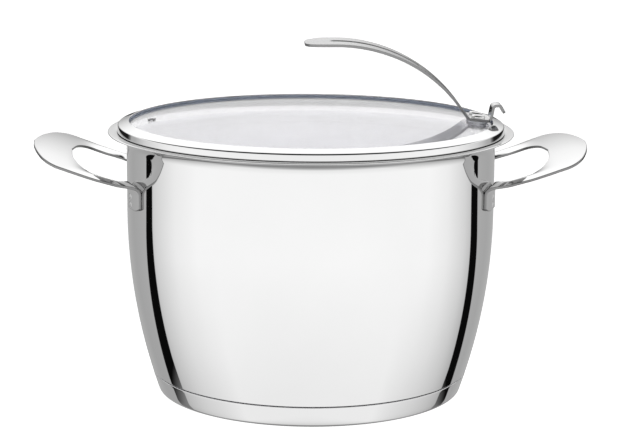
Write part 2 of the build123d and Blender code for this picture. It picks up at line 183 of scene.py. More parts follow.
# Near-black steel for the sheet edges and the vent eyelet: painted shade, standing in for the dark
# reflections and shade along the edges and in the vent hole.
SHADED_EDGE_STEEL = steel("edge_steel_painted_shade", (0.2, 0.2, 0.2), (0.26, 0.26, 0.26), 0.25, 0.35, 0.1)


def make_glass():
    """Clear tempered glass with a faint cool tint and light wipe marks."""
    material, nodes, links, shader = new_material("lid_glass_clear")
    shader.inputs["Base Color"].default_value = (0.985, 0.98, 1.0, 1)
    shader.inputs["Transmission Weight"].default_value = 1.0
    shader.inputs["IOR"].default_value = 1.5
    wipes = noise(nodes, links, 30, 3, (1, 3, 1))
    links.new(spread(nodes, links, wipes, 0.0, 0.012), shader.inputs["Roughness"])
    return material


def make_plain(name, dark, light, rough_low, rough_high, metallic=0.0, scale=120):
    """A plain matt or bare material with speckle in colour, roughness and relief."""
    material, nodes, links, shader = new_material(name)
    shader.inputs["Metallic"].default_value = metallic
    speckle = noise(nodes, links, scale, 4)
    links.new(shade_mix(nodes, links, speckle, dark, light), shader.inputs["Base Color"])
    links.new(spread(nodes, links, speckle, rough_low, rough_high), shader.inputs["Roughness"])
    bump(nodes, links, shader, speckle, 0.1, 0.0001)
    return material


GLASS = make_glass()
SILICONE = make_plain("grey_silicone", (0.46, 0.52, 0.63), (0.52, 0.58, 0.69), 0.45, 0.6)
PALE_SILICONE = make_plain("pale_silicone", (0.8, 0.81, 0.84), (0.86, 0.87, 0.9), 0.35, 0.5)
ALUMINIUM = make_plain("bare_aluminium", (0.55, 0.55, 0.56), (0.66, 0.66, 0.67), 0.3, 0.5, 1.0)


# ---------------------------------------------------------------- mesh helpers
def finish_mesh(name, bm, material, body, replaced=()):
    """Turns a bmesh in millimetres into a smooth-shaded piece on a body."""
    bmesh.ops.recalc_face_normals(bm, faces=bm.faces)
    bmesh.ops.scale(bm, vec=(MM, MM, MM), verts=bm.verts)
    for face in bm.faces:
        face.smooth = True
    mesh = bpy.data.meshes.new(name)
    bm.to_mesh(mesh)
    bm.free()
    mesh.materials.append(material)
    piece = bpy.data.objects.new(name, mesh)
    bpy.context.scene.collection.objects.link(piece)
    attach(piece, body)
    if replaced:
        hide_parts(*replaced)
    return piece


def line(start, end, step=6.0, edge=0.25):
    """Points along a straight run, with one close to each end to hold the shading there."""
    length = hypot(end[0] - start[0], end[1] - start[1])
    if length < 4 * edge:
        return [start, end]
    count = max(1, round((length - 2 * edge) / step))
    stops = [0.0] + [edge + (length - 2 * edge) * i / count for i in range(count + 1)] + [length]
    return [
        (start[0] + (end[0] - start[0]) * s / length, start[1] + (end[1] - start[1]) * s / length)
        for s in stops
    ]


def arc(centre, radius, start, end, step=5.0):
    """Points along an arc, angles in degrees anticlockwise from +X."""
    count = max(2, round(abs(end - start) / step))
    angles = [radians(start + (end - start) * i / count) for i in range(count + 1)]
    return [(centre[0] + radius * cos(a), centre[1] + radius * sin(a)) for a in angles]


def round_corner(before, corner, after, radius, step=10.0):
    """The arc that rounds a corner of a polyline."""
    a = (Vector(before) - Vector(corner)).normalized()
    b = (Vector(after) - Vector(corner)).normalized()
    half = a.angle(b) / 2
    reach = radius / tan(half)
    centre = Vector(corner) + (a + b).normalized() * radius / sin(half)
    first = Vector(corner) + a * reach - centre
    last = Vector(corner) + b * reach - centre
    start = degrees(atan2(first.y, first.x))
    turn = (degrees(atan2(last.y, last.x)) - start + 180) % 360 - 180
    return arc(tuple(centre), radius, start, start + turn, step)


def lathe(profile, closed=True, segments=SEGMENTS, bm=None):
    """Revolves a profile of (radius, height) about Z into bm; radius 0 points become poles."""
    bm = bm or bmesh.new()
    rings = []
    for radius, height in profile:
        if radius < 1e-6:
            rings.append([bm.verts.new((0, 0, height))])
            continue
        angles = [2 * pi / segments * i for i in range(segments)]
        rings.append([bm.verts.new((radius * cos(a), radius * sin(a), height)) for a in angles])
    pairs = list(zip(rings, rings[1:]))
    if closed:
        pairs.append((rings[-1], rings[0]))
    for low, high in pairs:
        if len(low) == 1 and len(high) == 1:
            continue
        for i in range(segments):
            j = (i + 1) % segments
            corners = [low[i % len(low)], low[j % len(low)], high[j % len(high)], high[i % len(high)]]
            unique = list(dict.fromkeys(corners))
            bm.faces.new(unique)
    return bm


def add_part(whole, part, matrix):
    """Adds the bmesh part to whole, placed by matrix, and frees it."""
    bmesh.ops.transform(part, matrix=matrix, verts=part.verts)
    holder = bpy.data.meshes.new("part")
    part.to_mesh(holder)
    part.free()
    whole.from_mesh(holder)
    bpy.data.meshes.remove(holder)


# ---------------------------------------------------------------- pot
def barrel_arc(low, high, inset, count=BARREL_STEPS):
    """Points up the barrel between two heights, on the outside or inset from it."""
    heights = [low + (high - low) * i / count for i in range(count + 1)]
    return [(barrel_radius(z, inset), z) for z in heights]


def make_pot_body():
    """Drawn wall and floor with the flared, rounded pouring rim; duller steel inside, its colour
    lightened as painted light.
    """
    inside_cap = CAP_SHEET + BRAZE_GAP
    step_z = SEAM_HEIGHT + SEAM_GAP
    floor_top = FLOOR_UNDERSIDE + FLOOR
    under_corner = (barrel_radius(FLOOR_UNDERSIDE, inside_cap), FLOOR_UNDERSIDE)
    step_in = (barrel_radius(step_z, inside_cap), step_z)
    step_out = (barrel_radius(step_z), step_z)
    above_step = (barrel_radius(step_z + 2), step_z + 2)
    profile = line((0, FLOOR_UNDERSIDE), (under_corner[0] - FLOOR_CORNER, FLOOR_UNDERSIDE))
    profile += round_corner((0, FLOOR_UNDERSIDE), under_corner, step_in, FLOOR_CORNER)[1:]
    profile += [step_in]
    profile += round_corner(step_in, step_out, above_step, SEAM_ROUND)
    profile += barrel_arc(step_z + SEAM_MARGIN, BARREL_TOP, 0)
    profile += line((NECK_RADIUS, BARREL_TOP), (NECK_RADIUS, FLARE_START))[1:]
    centre = (FLARE_CENTRE, FLARE_START)
    profile += arc(centre, FLARE_UNDER_RADIUS, 180, 90)[1:]
    edge_x = RIM_RADIUS - WALL / 2
    edge_z = FLARE_START + FLARE_UNDER_RADIUS + WALL / 2
    profile += arc((edge_x, edge_z), WALL / 2, -90, 90, 18)
    profile += arc(centre, FLARE_TOP_RADIUS, 90, 180)
    inner = NECK_RADIUS - WALL
    profile += line((inner, FLARE_START), (inner, BARREL_TOP))[1:]
    floor_corner = (barrel_radius(floor_top, WALL + inside_cap), floor_top)
    wall_foot = floor_top + FLOOR_CORNER + FLOOR
    for i in range(BARREL_STEPS):
        height = BARREL_TOP + (wall_foot - BARREL_TOP) * (i + 1) / BARREL_STEPS
        share = (BARREL_TOP - height) / (BARREL_TOP - floor_top)
        profile.append((barrel_radius(height, WALL + inside_cap * share), height))
    profile += round_corner(profile[-1], floor_corner, (0, floor_top), FLOOR_CORNER)
    profile += line(profile[-1], (0, floor_top))[1:]
    pot = finish_mesh(
        "steel_pot", lathe(profile, closed=False), MIRROR_STEEL, "pot", ["pot_body"]
    )
    # Inside faces take the lightened inner steel: painted light.
    pot.data.materials.append(LIGHTENED_INNER_STEEL)
    for face in pot.data.polygons:
        x, y, z = face.center / MM
        inside = min(barrel_radius(min(z, BARREL_TOP)), NECK_RADIUS) - 0.6 * WALL
        if floor_top - 0.01 < z < FLARE_START and sqrt(x**2 + y**2) < inside:
            face.material_index = 1
    return pot


def make_base_cap():
    """Steel cap pressed over the base core, with its rolled foot and upper edge."""
    top_out = (barrel_radius(SEAM_HEIGHT), SEAM_HEIGHT)
    top_in = (barrel_radius(SEAM_HEIGHT, CAP_SHEET), SEAM_HEIGHT)
    foot = (barrel_radius(0), 0)
    inner_foot = (barrel_radius(CAP_SHEET, CAP_SHEET), CAP_SHEET)
    profile = line((0, 0), (foot[0] - CAP_CORNER * 1.2, 0))
    profile += round_corner((0, 0), foot, top_out, CAP_CORNER)
    profile += barrel_arc(CAP_CORNER + 1, SEAM_HEIGHT - SEAM_MARGIN, 0, 8)
    profile += round_corner(foot, top_out, top_in, SEAM_ROUND)
    profile += [top_in]
    profile += barrel_arc(SEAM_HEIGHT - 1, CAP_CORNER + 1, CAP_SHEET, 6)
    profile += round_corner(top_in, inner_foot, (0, CAP_SHEET), CAP_CORNER - CAP_SHEET)
    profile += line(profile[-1], (0, CAP_SHEET))[1:]
    return finish_mesh(
        "base_cap_steel", lathe(profile, closed=False), MIRROR_STEEL, "pot", ["base_cap"]
    )


# ---------------------------------------------------------------- lid
def flare_height(radius, curve):
    """Height of an arc drawn about the centre of the flared rim, at a radius."""
    return FLARE_START + sqrt(curve**2 - (FLARE_CENTRE - radius) ** 2)


def flare_arc(curve, radius):
    """Arc that follows the flare, from the upright skirt out to a radius."""
    end = 180 - degrees(acos((FLARE_CENTRE - radius) / curve))
    return arc((FLARE_CENTRE, FLARE_START), curve, 180, end, 4)


def make_lid_rim():
    """Rolled steel ring: skirt, flare, leaning flank, rounded shoulder and sloping lip."""
    outer = FLARE_TOP_RADIUS + LID_GAP
    inner = outer + RING_SHEET
    inside = RING_RADIUS - RING_SHEET
    skirt_out = FLARE_CENTRE - outer
    skirt_in = FLARE_CENTRE - inner
    shoulder = (RING_RADIUS - RING_LEAN, RING_SHOULDER_Z)
    lip = (RING_LIP_RADIUS, RING_LIP_Z)
    lip_under = (RING_LIP_RADIUS, RING_LIP_Z - RING_SHEET)
    shoulder_in = (inside - RING_LEAN, RING_SHOULDER_Z - RING_SHEET)
    flank_foot = (RING_RADIUS, flare_height(RING_RADIUS, outer))
    inner_foot = (inside, flare_height(inside, inner))
    profile = line((skirt_out, RING_SKIRT_BOTTOM), (skirt_out, FLARE_START))
    profile += flare_arc(outer, RING_RADIUS - 0.4)[1:]
    profile += [(RING_RADIUS - 0.12, flank_foot[1] + 0.02), (RING_RADIUS, flank_foot[1] + 0.25)]
    top_round = round_corner(flank_foot, shoulder, lip, RING_SHOULDER_ROUND, 7)
    profile += line((RING_RADIUS, flank_foot[1] + 0.25), top_round[0])[1:-1] + top_round
    lip_round = round_corner(shoulder, lip, lip_under, RING_LIP_ROUND, 15)
    profile += line(top_round[-1], lip_round[0])[1:-1] + lip_round + [lip_under]
    profile += line(lip_under, shoulder_in)[1:]
    profile += line(shoulder_in, inner_foot)[1:]
    profile += list(reversed(flare_arc(inner, inside)))[1:]
    profile += line((skirt_in, FLARE_START), (skirt_in, RING_SKIRT_BOTTOM))[1:]
    ring = finish_mesh("lid_ring", lathe(profile), MIRROR_STEEL, "lid", ["lid_rim"])
    # The ring's inner skirt takes the lightened inner steel: painted light.
    ring.data.materials.append(LIGHTENED_INNER_STEEL)
    for face in ring.data.polygons:
        x, y, _ = face.center / MM
        if sqrt(x**2 + y**2) < skirt_out - 0.1 and face.center.z / MM < RING_LIP_Z - 2:
            face.material_index = 1
    return ring


def make_lid_seal():
    """Silicone channel round the edge of the glass, its foot on the ring's flare."""
    curve = FLARE_TOP_RADIUS + LID_GAP + RING_SHEET + SEAL_GAP
    inside = RING_LIP_RADIUS + SEAL_LIP_GAP
    outside = RING_RADIUS - RING_SHEET - RING_LEAN - SEAL_GAP
    foot = GLASS_RADIUS - SEAL_FOOT
    edge = GLASS_RADIUS + SEAL_GAP
    under_lip = (inside, RING_LIP_Z - RING_SHEET - SEAL_GAP)
    under_shoulder = (outside, RING_SHOULDER_Z - RING_SHEET - SEAL_GAP)
    profile = [(foot, flare_height(foot, curve))]
    profile += [(r, glass_height(r, GLASS_THICKNESS) - SEAL_GAP) for r in (foot, edge)]
    profile += [(r, glass_height(r) + SEAL_GAP) for r in (edge, (edge + inside) / 2, inside)]
    profile += round_corner(profile[-1], under_lip, under_shoulder, RING_LIP_ROUND)
    profile += [under_shoulder]
    profile += [(r, flare_height(r, curve)) for r in (outside, (outside + edge) / 2, edge)]
    return finish_mesh("seal_channel", lathe(profile), SILICONE, "lid", ["lid_seal"])


def make_lid_glass():
    """Domed glass disc, with the vent hole and the two screw holes bored through."""
    count = 48
    radii = [GLASS_RADIUS * i / count for i in range(count)]
    profile = [(r, glass_height(r)) for r in radii]
    edge_top = (GLASS_RADIUS, glass_height(GLASS_RADIUS))
    edge_low = (GLASS_RADIUS, glass_height(GLASS_RADIUS, GLASS_THICKNESS))
    profile += round_corner(profile[-1], edge_top, edge_low, GLASS_EDGE_ROUND)
    profile += round_corner(edge_top, edge_low, (0, edge_low[1]), GLASS_EDGE_ROUND)
    profile += [(r, glass_height(r, GLASS_THICKNESS)) for r in reversed(radii)]
    disc = finish_mesh(
        "lid_glass_disc", lathe(profile, closed=False), GLASS, "lid", ["lid_glass"]
    )
    bore(disc, [(VENT_X, 0, VENT_HOLE), (SCREW_X, -SCREW_Y, SCREW_HOLE), (SCREW_X, SCREW_Y, SCREW_HOLE)])
    return disc


def bore(piece, holes):
    """Cuts round holes, given as x, y and diameter, square to the dome through a lid piece."""
    bm = bmesh.new()
    reach = 8.0
    for x, y, diameter in holes:
        tool = bmesh.new()
        lathe([(0, -reach), (diameter / 2, -reach), (diameter / 2, reach), (0, reach)], False, 40, tool)
        bmesh.ops.recalc_face_normals(tool, faces=tool.faces)
        radius = hypot(x, y)
        tilt = Matrix.Rotation(asin(radius / GLASS_ARC), 4, Vector((-y, x, 0)))
        place = Matrix.Translation((x, y, glass_height(radius, GLASS_THICKNESS / 2)))
        add_part(bm, tool, Matrix.Scale(MM, 4) @ place @ tilt)
    mesh = bpy.data.meshes.new("cutter")
    bm.to_mesh(mesh)
    bm.free()
    cutter = bpy.data.objects.new("cutter", mesh)
    bpy.context.scene.collection.objects.link(cutter)
    cut = piece.modifiers.new("holes", "BOOLEAN")
    cut.object = cutter
    cut.solver = "EXACT"
    bpy.context.view_layer.update()
    shown = piece.evaluated_get(bpy.context.evaluated_depsgraph_get())
    bored = bpy.data.meshes.new_from_object(shown)
    piece.modifiers.remove(cut)
    piece.data = bored
    bored.set_sharp_from_angle(angle=radians(35))
    bpy.data.objects.remove(cutter)


# ---------------------------------------------------------------- bent sheet pieces
def smooth_curve(points, count):
    """count + 1 points along a Catmull-Rom curve through points, evenly spaced by length."""
    dense = []
    ends = [tuple(2 * a - b for a, b in zip(points[0], points[1]))]
    tail = [tuple(2 * a - b for a, b in zip(points[-1], points[-2]))]
    control = [Vector(p) for p in ends + list(points) + tail]
    for i in range(1, len(control) - 2):
        p0, p1, p2, p3 = control[i - 1 : i + 3]
        for k in range(40):
            t = k / 40
            dense.append(
                0.5 * (2 * p1 + (p2 - p0) * t + (2 * p0 - 5 * p1 + 4 * p2 - p3) * t**2
                       + (3 * p1 - p0 - 3 * p2 + p3) * t**3)
            )
    dense.append(control[-2])
    return even_points(dense, count)


def even_points(dense, count):
    """count + 1 points evenly spaced along a dense polyline."""
    lengths = [0.0]
    for a, b in zip(dense, dense[1:]):
        lengths.append(lengths[-1] + (b - a).length)
    result, k = [], 0
    for i in range(count + 1):
        target = lengths[-1] * i / count
        while k < len(dense) - 2 and lengths[k + 1] < target:
            k += 1
        span = lengths[k + 1] - lengths[k] or 1
        result.append(dense[k].lerp(dense[k + 1], (target - lengths[k]) / span))
    return result


def sheet_mesh(rows, holes=()):
    """A mid-surface mesh from rows of points; holes lists (row, column) quads to leave out."""
    bm = bmesh.new()
    grid = [[bm.verts.new(p) for p in row] for row in rows]
    for i in range(len(grid) - 1):
        for j in range(len(grid[0]) - 1):
            if (i, j) not in holes:
                bm.faces.new((grid[i][j], grid[i + 1][j], grid[i + 1][j + 1], grid[i][j + 1]))
    bmesh.ops.remove_doubles(bm, verts=bm.verts, dist=0.02)
    bmesh.ops.dissolve_degenerate(bm, edges=bm.edges, dist=0.01)
    return bm


def thicken(piece, thickness, edge):
    """Gives a mid-surface its sheet thickness and rounds the cut edges, which are darkened as painted
    shade.
    """
    solid = piece.modifiers.new("sheet", "SOLIDIFY")
    solid.thickness = thickness * MM
    solid.offset = 0.0
    solid.use_even_offset = True
    # Rim and bevel faces take the dark edge steel: painted shade along the sheet edges.
    solid.material_offset_rim = 1
    piece.data.materials.append(SHADED_EDGE_STEEL)
    bevel = piece.modifiers.new("edges", "BEVEL")
    bevel.material = 1
    bevel.width = edge * MM
    bevel.segments = 4
    bevel.limit_method = "ANGLE"
    bevel.angle_limit = radians(40)
    bevel.harden_normals = True
    return piece


# ---------------------------------------------------------------- side handles
HANDLE_OUTLINE = [
    (128.0, 59.0), (141.0, 61.0), (155.0, 62.9), (164.0, 62.0), (171.0, 53.0), (176.0, 38.0),
    (179.8, 19.0), (HANDLE_TIP, 0.0),
]
HANDLE_OPENING = [
    (128.0, 46.9), (133.0, 46.4), (141.5, 44.4), (149.0, 38.0), (154.5, 23.0), (157.0, 0.0),
]
HANDLE_ROOT_Z = 149.3
HANDLE_SIDE = [
    (104.0, -7.0), (125.0, 0.0), (140.0, 4.8), (155.0, 9.8), (166.0, 13.4), (175.0, 15.6),
    (184.0, 16.6), (194.0, 17.0),
]
HANDLE_CROWN_RADIUS = 880.0
TAB_START, TAB_END = radians(14.0), radians(25.5)
TAB_TOP = 138.5
TAB_CORNER = 2.6           # the tab's outer lower corner rises by this
TAB_CORNER_START = 0.6     # from this share of the way across
LEG_X, LEG_RUN = 160.0, 24.0    # the legs round down from this X inwards, fully after this run
LEG_CREST = 0.62
LEG_INNER_DROP = 2.6
LEG_OUTER_DROP = 1.0
WELD_BEARING = 17.5
WELD_HEIGHTS = (135.6, 130.4)
WELD_DOME = [(2.3, 0.0), (2.1, 0.16), (1.6, 0.2), (1.1, 0.12), (0.5, 0.06), (0.0, 0.05)]


def handle_height(x, y):
    """Height of the grip's centre sheet: a slope that levels at the tip, slightly domed across."""
    k = max(i for i in range(len(HANDLE_SIDE) - 1) if HANDLE_SIDE[i][0] <= x)
    (x0, z0), (x1, z1) = HANDLE_SIDE[k], HANDLE_SIDE[k + 1]
    before, after = HANDLE_SIDE[max(k - 1, 0)], HANDLE_SIDE[min(k + 2, len(HANDLE_SIDE) - 1)]
    slope0 = (z1 - before[1]) / (x1 - before[0])
    slope1 = (after[1] - z0) / (after[0] - x0)
    run = x1 - x0
    t = (x - x0) / run
    rise = (
        z0 * (2 * t**3 - 3 * t**2 + 1) + slope0 * run * (t**3 - 2 * t**2 + t)
        + z1 * (3 * t**2 - 2 * t**3) + slope1 * run * (t**3 - t**2)
    )
    return HANDLE_ROOT_Z + rise - y**2 / (2 * HANDLE_CROWN_RADIUS)


def leg_dome(x, share):
    """How far a leg is rounded down, from its inner edge (share 0) to its outer edge (share 1)."""
    leg = min(1, max(0, (LEG_X - x) / LEG_RUN))
    leg = leg * leg * (3 - 2 * leg)
    if share < LEG_CREST:
        return leg * LEG_INNER_DROP * ((LEG_CREST - share) / LEG_CREST) ** 2
    return leg * LEG_OUTER_DROP * ((share - LEG_CREST) / (1 - LEG_CREST)) ** 2


def handle_rows():
    """Rows of points across the sheet, from one weld tab round the grip to the other."""
    along, across, bend_rows, tab_rows = 60, 16, 16, 6
    outer = smooth_curve([(x, y, 0) for x, y in HANDLE_OUTLINE], along)
    inner = smooth_curve([(x, y, 0) for x, y in HANDLE_OPENING], along)
    tab_radius = NECK_RADIUS + HANDLE_WELD_GAP + HANDLE_SHEET / 2
    half = []
    for o, i in zip(outer, inner):
        row = [(j / across, i.lerp(o, j / across)) for j in range(across + 1)]
        half.append([Vector((p.x, p.y, handle_height(p.x, p.y) - leg_dome(p.x, k))) for k, p in row])
    down = Vector((0, 0, -1))
    bend = [[] for _ in range(bend_rows)]
    for j in range(across + 1):
        share = j / across
        angle = TAB_START + (TAB_END - TAB_START) * share
        start = half[0][j]
        end = Vector((tab_radius * cos(angle), tab_radius * sin(angle), TAB_TOP))
        inward = Vector((-1, -0.45 + 0.33 * share, -0.33)).normalized()
        controls = [start, start + inward * 10, end - down * (7 + 2 * (1 - share)), end]
        for k, row in enumerate(bend):
            row.append(bezier(controls, (k + 1) / len(bend)))
    tab = []
    for k in range(1, tab_rows + 1):
        row = []
        for j, p in enumerate(bend[-1]):
            share = j / across
            corner = max(0, share - TAB_CORNER_START) / (1 - TAB_CORNER_START)
            bottom = HANDLE_TAB_BOTTOM - TAB_CORNER + TAB_CORNER * corner**2
            row.append(Vector((p.x, p.y, p.z + (bottom - p.z) * k / tab_rows)))
        tab.append(row)
    half = list(reversed(tab)) + list(reversed(bend)) + half
    mirrored = [[Vector((p.x, -p.y, p.z)) for p in row] for row in reversed(half[:-1])]
    return half + mirrored


def bezier(controls, t):
    """Point on a cubic Bezier curve."""
    a, b, c, d = controls
    return a * (1 - t) ** 3 + b * 3 * t * (1 - t) ** 2 + c * 3 * t**2 * (1 - t) + d * t**3


def make_side_handle(name, side, node):
    """One loop handle; side is 1 on +X and -1 on -X."""
    rows = [[Vector((side * p.x, side * p.y, p.z)) for p in row] for row in handle_rows()]
    piece = finish_mesh(name, sheet_mesh(rows), MIRROR_STEEL, "pot", [node])
    return thicken(piece, HANDLE_SHEET, 0.6)


def make_weld_spots():
    """Shallow round spot-weld marks, two on each handle tab: open domes that lie on the tab."""
    bm = bmesh.new()
    face_radius = NECK_RADIUS + HANDLE_WELD_GAP + HANDLE_SHEET
    for side in (0, 180):
        for bearing in (-WELD_BEARING, WELD_BEARING):
            for height in WELD_HEIGHTS:
                spot = bmesh.new()
                lathe(WELD_DOME, closed=False, segments=28, bm=spot)
                turn = Matrix.Rotation(radians(side + bearing), 4, "Z")
                place = Matrix.Translation((face_radius, 0, height)) @ Matrix.Rotation(pi / 2, 4, "Y")
                add_part(bm, spot, turn @ place)
    return finish_mesh("weld_spots", bm, SATIN_STEEL, "pot")


# ---------------------------------------------------------------- lid strap
FOOT_CENTRE_Z = 181.9
STRAP_APEX_X, STRAP_ARC, STRAP_ARC_CENTRE_Z, STRAP_ARC_END = 16.0, 100.3, 131.0, 54.0
STRAP_TIP = (-4.5, 230.6)
STRAP_GRIP_HALF, STRAP_FOOT_HALF, HOOK_HALF = 21.0, 14.0, 7.0
FOOT_END_X, HOOK_TOP_Z = 118.0, 190.4
FOOT_SLOPE = atan2(SCREW_X, GLASS_ARC)
SLOT_START, SLOT_END, SLOT_HALF = 12.0, 80.0, 3.5
STRAP_TAPER_X = 45.0           # the grip keeps its full width up to here
STRAP_TIP_CORNER, HOOK_CORNER = 15.0, 2.0
STRAP_BEND_RADII = (3.0, 1.6, 2.1, 2.1)
SHOULDER_START, SHOULDER_RUN = 2.5, 1.5     # where the foot narrows to the hook, before its end
HOOK_RUN = 20.0                # length of the hook, measured back from its end


def foot_height(x):
    """Height of the strap's centre along its foot, which lies parallel to the glass."""
    return FOOT_CENTRE_Z - tan(FOOT_SLOPE) * (x - SCREW_X)


def strap_path():
    """Centre line of the strap in XZ, from the grip's tip over the arch and foot to the hook."""
    turn = radians(STRAP_ARC_END)
    arch_end = (STRAP_APEX_X + STRAP_ARC * sin(turn), STRAP_ARC_CENTRE_Z + STRAP_ARC * cos(turn))
    run = (arch_end[1] - foot_height(arch_end[0])) / (tan(turn) - tan(FOOT_SLOPE))
    knee = (arch_end[0] + run, foot_height(arch_end[0] + run))
    foot_end = (FOOT_END_X, foot_height(FOOT_END_X))
    bends = [arch_end, knee, foot_end, (119.7, HOOK_TOP_Z), (124.2, HOOK_TOP_Z), (126.9, 185.4)]
    apex = (STRAP_APEX_X, STRAP_ARC_CENTRE_Z + STRAP_ARC)
    path = [Vector((*p, 0)) for p in (STRAP_TIP, (6.0, 231.2), apex)]
    path += [
        Vector((*p, 0))
        for p in arc((STRAP_APEX_X, STRAP_ARC_CENTRE_Z), STRAP_ARC, 90, 90 - STRAP_ARC_END, 1.5)
    ][1:]
    for i, radius in zip(range(1, 5), STRAP_BEND_RADII):
        path += [
            Vector((*p, 0)) for p in round_corner(bends[i - 1], bends[i], bends[i + 1], radius, 8)
        ]
    path.append(Vector((*bends[-1], 0)))
    return even_points(path, 220), knee[0]


def strap_half_width(x, travelled, total, knee_x):
    """Half the strap's width at a place along it."""
    corner = STRAP_TIP_CORNER
    shoulder_x = FOOT_END_X - SHOULDER_START
    if x > shoulder_x or travelled > total - HOOK_RUN:
        blend = min(1, max(0, (x - shoulder_x) / SHOULDER_RUN))
        width = STRAP_FOOT_HALF + (HOOK_HALF - STRAP_FOOT_HALF) * blend
        if total - travelled < HOOK_CORNER:
            short = HOOK_CORNER - (total - travelled)
            width -= HOOK_CORNER - sqrt(max(0, HOOK_CORNER**2 - short**2))
        return width
    share = min(1, max(0, (x - STRAP_TAPER_X) / (knee_x - STRAP_TAPER_X)))
    width = STRAP_GRIP_HALF + (STRAP_FOOT_HALF - STRAP_GRIP_HALF) * share
    if travelled < corner:
        width -= corner - sqrt(corner**2 - (corner - travelled) ** 2)
    return width


def slot_half_width(x):
    """Half the slot's width at a place along the arch, 0 outside it."""
    inside = min(x - SLOT_START, SLOT_END - x)
    if inside <= 0:
        return 0.0
    if inside < SLOT_HALF:
        return sqrt(SLOT_HALF**2 - (SLOT_HALF - inside) ** 2)
    return SLOT_HALF


def make_strap():
    """The bent strap: rounded grip with a long slot, arch, foot and upturned hook."""
    path, knee_x = strap_path()
    columns = 7
    total = sum((b - a).length for a, b in zip(path, path[1:]))
    rows, holes, travelled = [], set(), 0.0
    for i, p in enumerate(path):
        if i:
            travelled += (p - path[i - 1]).length
        half = strap_half_width(p.x, travelled, total, knee_x)
        gap = slot_half_width(p.x) if travelled < total / 2 else 0.0
        left = [-half + (half - gap) * j / columns for j in range(columns + 1)]
        right = [gap + (half - gap) * j / columns for j in range(columns + 1)]
        rows.append([Vector((p.x, y, p.y)) for y in left + right])
        previous = slot_half_width(path[max(0, i - 1)].x) if travelled < total / 2 else 0.0
        if i and (gap > 0 or previous > 0):
            holes.add((i - 1, columns))
    piece = finish_mesh(
        "lid_strap", sheet_mesh(rows, holes), SATIN_STEEL, "lid", ["lid_handle"]
    )
    return thicken(piece, STRAP_SHEET, 0.5)


# ---------------------------------------------------------------- room, light and camera
PHOTO_TURN = radians(2.0)      # the camera stands a little to the left of the -Y axis
CAMERA_DISTANCE = 1.3938
CAMERA_HEIGHT = 0.3912
CAMERA_PITCH = 0.198
CAMERA_ROLL = 0.0068
CAMERA_LENS = 124.8
CAMERA_PAN = 0.0006            # aimed a little left of the pot's axis

TENT_LIGHT = 1.42
FLAG_BLACK, SCREEN_BLACK = 0.003, 0.01
FLAG_SOFT = 0.3                # half the width of a flag's soft edge, in degrees
FLAG_LOW, FLAG_LEVEL = -28, -9     # the heights that the flags' two values stand for
THROUGH_GLASS_GREY = 1.1
REPEAT_GREY = 0.62
TWO_REFLECTIONS = 2.5          # the world counts 2 for a first reflection and 3 for a second
# Each black flag by height, from low to level: its bearing, then half its width
RIGHT_FLAG = ((131.7, 122.0), (6.6, 4.2))
LEFT_FLAG = ((-124.6, -118.6), (7.0, 3.6))
FLAG_HEIGHT = [(-34, 0.55), (-29, 1), (-8, 1), (-7, 0)]
# By height in degrees above the horizon: where the floor takes over from the walls, then brightness
TO_FLOOR = [(-46, 1), (-16, 0)]
FOOT_SHADE = [(-90, 0.3), (-72, 0.45), (-52, 1.0)]
REAR_STOPS = [(0, 0.34), (3, 0.38), (15, 0.86), (24, 1.1), (50, 1.1), (60, 0.04), (90, 0.02)]
FRONT_STOPS = [(0, 0.95), (16, 0.85), (24, 0.03), (90, 0.02)]
REAR_SIDES = [(118, 0), (136, 1)]
ABOVE_WALLS = [(0, 0), (4, 1)]
# The dark gap behind the table's far edge, and the screens beside it, by bearing and by height
GAP_SIDES = [(130, 0), (137, 1)]
GAP_HEIGHT = [(-8.3, 0), (-7.8, 1), (-1.5, 1), (-0.5, 0)]
SCREEN_SIDES = [(130, 0), (137, 1), (152, 1), (160, 0)]
SCREEN_HEIGHT = [(-8.3, 0), (-7.8, 1), (5, 1), (7, 0)]
# Where the roof counts as plain grey, for light reflected more than once
ROOF_LIFT = [(-2, 0), (10, 1)]
# Brightness by bearing, 0 behind the camera and 180 behind the pot
WALL_STOPS = [
    (-180, 0.35), (-145, 0.35), (-125, 0.42), (-119, 0.54), (-112, 0.68), (-92, 0.91), (-74, 1.0),
    (78, 1.0), (94, 0.91), (112, 0.7), (120, 0.55), (126, 0.42), (145, 0.36), (180, 0.35),
]
FLOOR_STOPS = [
    (-180, 0.36), (-135, 0.34), (-118, 0.42), (-100, 0.6), (-60, 0.9),
    (60, 0.9), (100, 0.6), (122, 0.42), (135, 0.34), (180, 0.36),
]


def make_camera():
    """The camera: long lens, a little above the rim."""
    data = bpy.data.cameras.new("camera")
    camera = bpy.data.objects.new("camera", data)
    bpy.context.scene.collection.objects.link(camera)
    data.sensor_width = 36
    data.lens = CAMERA_LENS
    data.clip_start = 0.05
    data.clip_end = 50
    aim = PHOTO_TURN - CAMERA_PAN
    look = Vector((sin(aim) * cos(CAMERA_PITCH), cos(aim) * cos(CAMERA_PITCH), -sin(CAMERA_PITCH)))
    level = Vector((cos(aim), -sin(aim), 0))
    upright = level.cross(look)
    right = cos(CAMERA_ROLL) * level + sin(CAMERA_ROLL) * upright
    up = cos(CAMERA_ROLL) * upright - sin(CAMERA_ROLL) * level
    place = Vector((
        -CAMERA_DISTANCE * sin(PHOTO_TURN), -CAMERA_DISTANCE * cos(PHOTO_TURN), CAMERA_HEIGHT,
    ))
    turn = Matrix((right, up, -look)).transposed().to_4x4()
    camera.matrix_world = Matrix.Translation(place) @ turn
    bpy.context.scene.camera = camera


def math_node(nodes, links, operation, *values):
    """One Math node on sockets or numbers."""
    node = nodes.new("ShaderNodeMath")
    node.operation = operation
    for i, value in enumerate(values):
        if isinstance(value, (int, float)):
            node.inputs[i].default_value = value
        else:
            links.new(value, node.inputs[i])
    return node.outputs[0]


